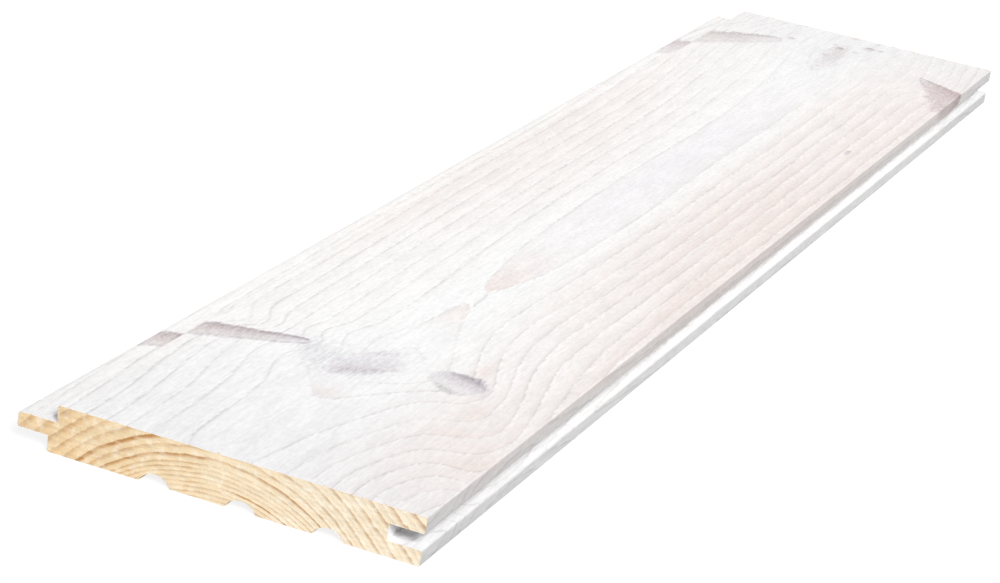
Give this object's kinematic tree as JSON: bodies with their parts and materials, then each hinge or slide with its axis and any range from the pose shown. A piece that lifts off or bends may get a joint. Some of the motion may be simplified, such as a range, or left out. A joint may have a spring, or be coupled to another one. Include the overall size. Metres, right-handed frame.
{
  "type": "tongue and groove board",
  "caption": "Flat softwood panelling board, white glazed, with a tongue along one edge, a matching groove with a shadow gap along the other and relief grooves in the back, for cladding walls.",
  "frame": {"origin": "middle of the back, under the middle of the overall width and length", "axes": "+X across the width from the tongue to the groove, +Y along the length, +Z out of the face"},
  "size_m": [0.12, 0.575, 0.014],
  "materials": {
    "glazed_wood": "satin"
  },
  "bodies": {
    "root": {"board": "glazed_wood"}
  },
  "joints": []
}
